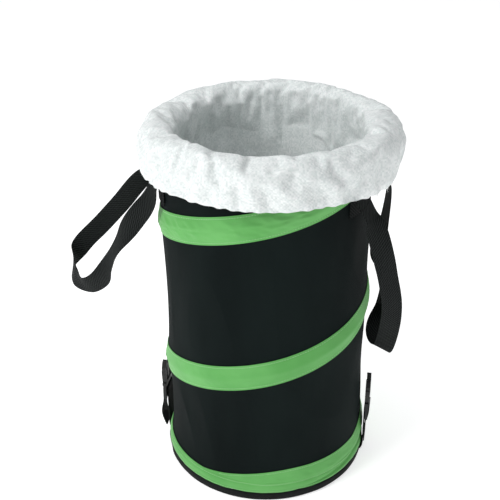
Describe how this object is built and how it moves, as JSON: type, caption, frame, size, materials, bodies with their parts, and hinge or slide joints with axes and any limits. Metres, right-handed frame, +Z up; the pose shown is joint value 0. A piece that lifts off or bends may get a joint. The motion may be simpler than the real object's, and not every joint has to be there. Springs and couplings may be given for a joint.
{
  "type": "pop-up collecting bag",
  "caption": "Round fabric bag held open by a coiled spring wire, with webbing handles, side straps with buckles and a woven sack rolled over its rim.",
  "frame": {"origin": "centre of the base, on the face the bag stands on", "axes": "+Z up along the bag's axis, -Y the front, the handles and side straps at +X and -X"},
  "size_m": [0.5126, 0.3686, 0.5487],
  "materials": {
    "black_fabric": "coated woven polyester, faint sheen",
    "green_fabric": "coated woven polyester, satin",
    "black_tape": "ribbed binding tape",
    "webbing": "ribbed polypropylene webbing",
    "buckle_plastic": "moulded acetal",
    "spring_steel": "drawn spring wire",
    "crimp_steel": "crimped sleeve",
    "woven_sack": "translucent white woven polypropylene"
  },
  "bodies": {
    "base": {"base_panel": "black_fabric", "base_binding": "black_tape", "base_casing": "green_fabric", "base_wire": "spring_steel", "base_wire_sleeve": "crimp_steel", "wall_fabric": "black_fabric", "spiral_casing": "green_fabric", "spiral_wire": "spring_steel"},
    "rim": {"rim_casing": "green_fabric", "rim_binding": "black_tape", "rim_wire": "spring_steel", "rim_wire_sleeve": "crimp_steel", "handle_left_front_tab": "webbing", "handle_left_rear_tab": "webbing", "handle_right_front_tab": "webbing", "handle_right_rear_tab": "webbing"},
    "handle_left_root": {"handle_left_front_root": "webbing", "handle_left_rear_root": "webbing"},
    "handle_left": {"handle_left_loop": "webbing"},
    "handle_right_root": {"handle_right_front_root": "webbing", "handle_right_rear_root": "webbing"},
    "handle_right": {"handle_right_loop": "webbing"},
    "base_strap_left": {"base_strap_left": "webbing", "male_buckle_left": "buckle_plastic"},
    "base_strap_right": {"base_strap_right": "webbing", "male_buckle_right": "buckle_plastic"},
    "rim_strap_left": {"rim_strap_left": "webbing", "female_buckle_left": "buckle_plastic"},
    "rim_strap_right": {"rim_strap_right": "webbing", "female_buckle_right": "buckle_plastic"},
    "liner": {"liner_sack": "woven_sack", "liner_bottom_fold": "woven_sack", "liner_turn": "woven_sack", "liner_cuff": "woven_sack"}
  },
  "joints": [
    {"name": "collapse", "type": "slide", "parent": "base", "child": "rim", "axis": [0, 0, -1], "range_m": [0, 0.44], "stiffness_N_per_m": 60, "springref_m": -0.15, "deforming": ["wall_fabric", "spiral_casing", "spiral_wire", "handle_left_front_tab", "handle_left_rear_tab", "handle_right_front_tab", "handle_right_rear_tab", "liner_sack", "liner_bottom_fold"]},
    {"name": "handle_left_root_turn", "type": "hinge", "parent": "rim", "child": "handle_left_root", "pos_m": [-0.1482, 0, 0.47], "axis": [0, 1, 0], "range_deg": [0, 60]},
    {"name": "handle_left_swing", "type": "hinge", "parent": "handle_left_root", "child": "handle_left", "pos_m": [-0.1546, 0, 0.4435], "axis": [0, 1, 0], "range_deg": [-20, 76]},
    {"name": "handle_right_root_turn", "type": "hinge", "parent": "rim", "child": "handle_right_root", "pos_m": [0.1482, 0, 0.47], "axis": [0, -1, 0], "range_deg": [0, 84]},
    {"name": "handle_right_swing", "type": "hinge", "parent": "handle_right_root", "child": "handle_right", "pos_m": [0.1546, 0, 0.4435], "axis": [0, -1, 0], "range_deg": [0, 78]},
    {"name": "base_strap_left_swing", "type": "hinge", "parent": "base", "child": "base_strap_left", "pos_m": [-0.1559, 0, 0.006], "axis": [0, -1, 0], "range_deg": [0, 75]},
    {"name": "base_strap_right_swing", "type": "hinge", "parent": "base", "child": "base_strap_right", "pos_m": [0.1559, 0, 0.006], "axis": [0, 1, 0], "range_deg": [0, 75]},
    {"name": "rim_strap_left_swing", "type": "hinge", "parent": "rim", "child": "rim_strap_left", "pos_m": [-0.1566, 0, 0.5275], "axis": [0, 1, 0], "range_deg": [0, 4]},
    {"name": "rim_strap_right_swing", "type": "hinge", "parent": "rim", "child": "rim_strap_right", "pos_m": [0.1566, 0, 0.5275], "axis": [0, -1, 0], "range_deg": [0, 8]},
    {"name": "liner_lift", "type": "slide", "parent": "rim", "child": "liner", "axis": [0, 0, 1], "range_m": [0, 0.56]}
  ],
  "couplings": [
    {"joint": "handle_left_root_turn", "follows": "collapse", "rad_per_m": 2.38},
    {"joint": "handle_right_root_turn", "follows": "collapse", "rad_per_m": 3.332},
    {"joint": "base_strap_left_swing", "follows": "collapse", "rad_per_m": 2.975},
    {"joint": "base_strap_right_swing", "follows": "collapse", "rad_per_m": 2.975}
  ]
}
